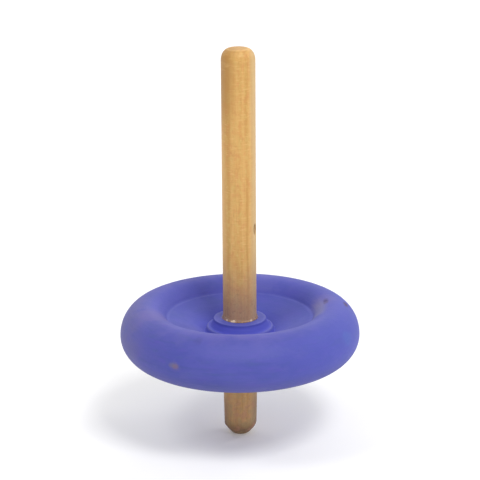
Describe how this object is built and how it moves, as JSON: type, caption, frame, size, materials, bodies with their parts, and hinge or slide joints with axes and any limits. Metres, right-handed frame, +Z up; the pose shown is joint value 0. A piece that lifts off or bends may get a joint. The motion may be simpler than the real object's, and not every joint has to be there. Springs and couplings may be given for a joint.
{
  "type": "spinning top",
  "caption": "Wooden spinning top: a tall dowel stem glued through a rounded, painted wheel low down, with a blunt tip to spin on.",
  "frame": {"origin": "centre of the small flat at the stem's tip, where the top touches the floor", "axes": "+Z up the stem along the spin axis; X and Y are equal, because the top is round"},
  "size_m": [0.0714, 0.0714, 0.118],
  "materials": {
    "stem_wood": "bare hardwood worn smooth by hands, honey brown, greyer towards the tip and the hub",
    "painted_wood": "matt blue-violet paint or stain on turned hardwood, lightly rubbed and marked",
    "dried_glue": "cured amber wood glue, slightly glossy"
  },
  "bodies": {
    "root": {"stem": "stem_wood", "wheel": "painted_wood", "glue_bond": "dried_glue"}
  },
  "joints": []
}
